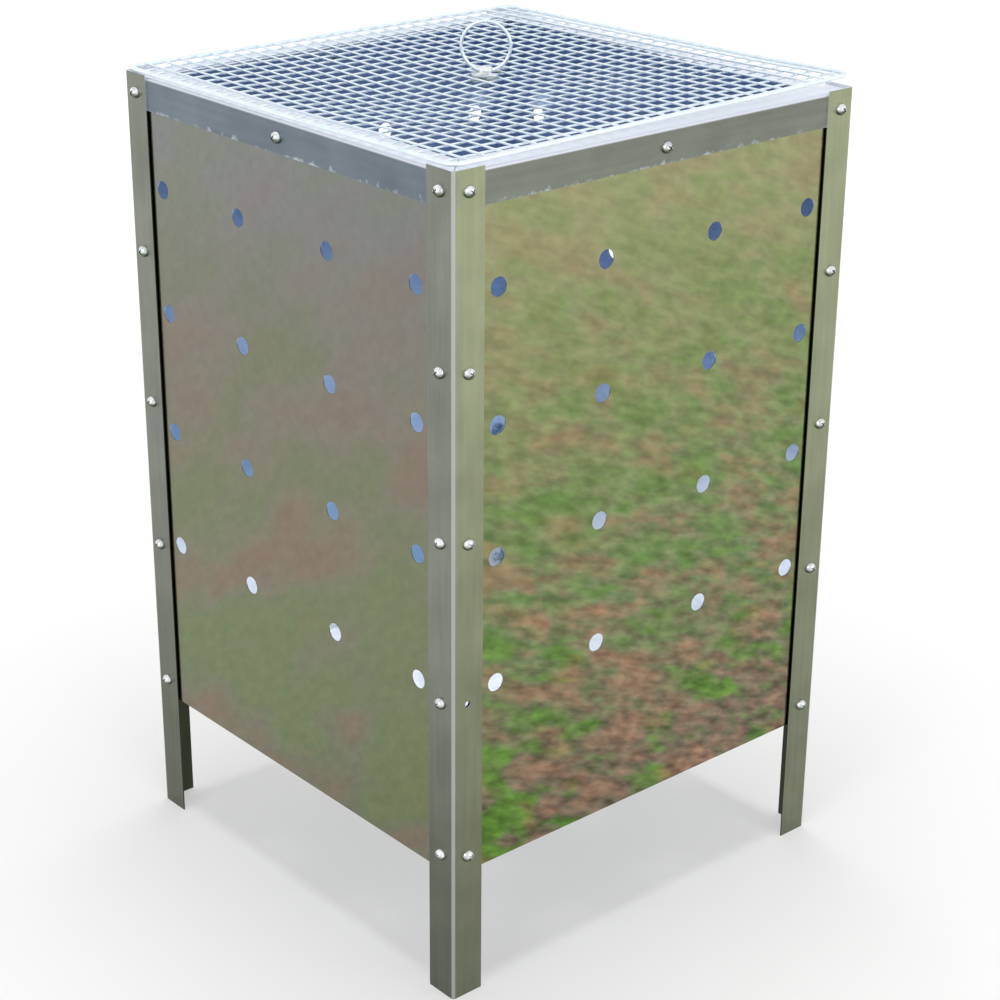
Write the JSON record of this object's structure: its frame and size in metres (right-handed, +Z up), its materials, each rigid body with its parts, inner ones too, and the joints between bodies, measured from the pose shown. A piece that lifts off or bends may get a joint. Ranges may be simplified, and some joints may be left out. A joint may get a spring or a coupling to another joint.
{
  "type": "garden incinerator",
  "caption": "Square garden incinerator: perforated galvanised sheet bin on angle legs, with a loose wire mesh lid that lifts off by a ring.",
  "frame": {"origin": "middle of the four legs' feet, on the ground", "axes": "+Z up, -Y the front face, +X the right face seen from the front"},
  "size_m": [0.4502, 0.4502, 0.7696],
  "materials": {
    "galvanised_angle": "galvanised, dull and lightly marked",
    "galvanised_panel": "galvanised, semi-bright with blurred reflections",
    "galvanised_tray": "galvanised, dull",
    "zinc_screw": "bright zinc plate",
    "zinc_nut": "zinc plate",
    "zinc_wire": "bright zinc plated wire",
    "zinc_clip": "bright zinc plate",
    "zinc_ring": "bright zinc plated wire"
  },
  "bodies": {
    "bin": {"front_left_leg": "galvanised_angle", "front_right_leg": "galvanised_angle", "back_right_leg": "galvanised_angle", "back_left_leg": "galvanised_angle", "front_rail": "galvanised_angle", "right_rail": "galvanised_angle", "back_rail": "galvanised_angle", "left_rail": "galvanised_angle", "front_panel": "galvanised_panel", "right_panel": "galvanised_panel", "back_panel": "galvanised_panel", "left_panel": "galvanised_panel", "base_tray": "galvanised_tray", "front_screws": "zinc_screw", "right_screws": "zinc_screw", "back_screws": "zinc_screw", "left_screws": "zinc_screw", "front_nuts": "zinc_nut", "right_nuts": "zinc_nut", "back_nuts": "zinc_nut", "left_nuts": "zinc_nut"},
    "lid": {"lid_border": "zinc_wire", "lid_cross_wires": "zinc_wire", "lid_long_wires": "zinc_wire", "ring_saddle": "zinc_clip", "saddle_backing_plate": "zinc_clip", "saddle_screws": "zinc_screw", "saddle_nuts": "zinc_screw"},
    "ring": {"lifting_ring": "zinc_ring"}
  },
  "joints": [
    {"name": "lid_lift", "type": "slide", "parent": "bin", "child": "lid", "axis": [0, 0, 1], "range_m": [0, 0.25]},
    {"name": "ring_swing", "type": "hinge", "parent": "lid", "child": "ring", "pos_m": [0, 0, 0.7261], "axis": [0.7071, -0.7071, 0], "range_deg": [-88, 88]}
  ]
}
